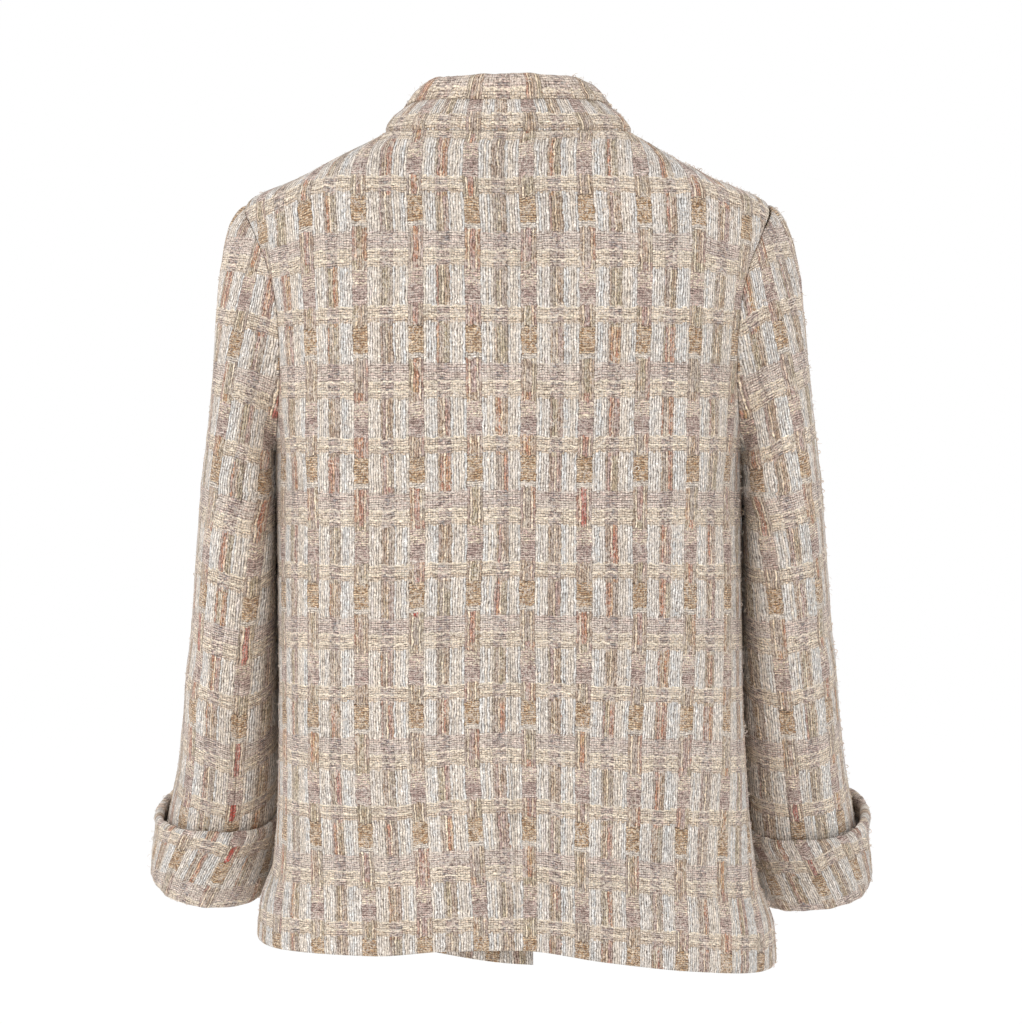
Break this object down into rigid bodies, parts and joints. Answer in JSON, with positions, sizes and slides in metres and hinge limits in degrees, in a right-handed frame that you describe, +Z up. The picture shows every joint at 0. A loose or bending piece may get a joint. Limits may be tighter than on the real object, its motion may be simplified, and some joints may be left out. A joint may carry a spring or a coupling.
{
  "type": "tweed jacket",
  "caption": "Hip-length boxy jacket of checked boucle tweed, with set-in sleeves, turned-back cuffs and a small folded stand collar, standing hollow as worn.",
  "frame": {"origin": "the middle of the neck opening, level with the points where the shoulder seams meet the collar, where the wearer's neck and shoulders hold the jacket", "axes": "+Z up towards the wearer's head, -Y towards the jacket's front, +X towards the wearer's left"},
  "size_m": [0.5545, 0.2574, 0.6761],
  "materials": {
    "tweed_light": "bulky boucle tweed, matt, greige with white and brown yarns",
    "tweed_warm": "the same tweed, a shade warmer to tell neighbouring pieces apart"
  },
  "bodies": {
    "root": {"back_left": "tweed_light", "front_left": "tweed_warm", "sleeve_upper_left": "tweed_light", "sleeve_under_left": "tweed_warm", "cuff_left": "tweed_light", "back_right": "tweed_light", "front_right": "tweed_warm", "sleeve_upper_right": "tweed_light", "sleeve_under_right": "tweed_warm", "cuff_right": "tweed_light", "collar_stand": "tweed_light", "collar_fall": "tweed_warm"}
  },
  "joints": []
}
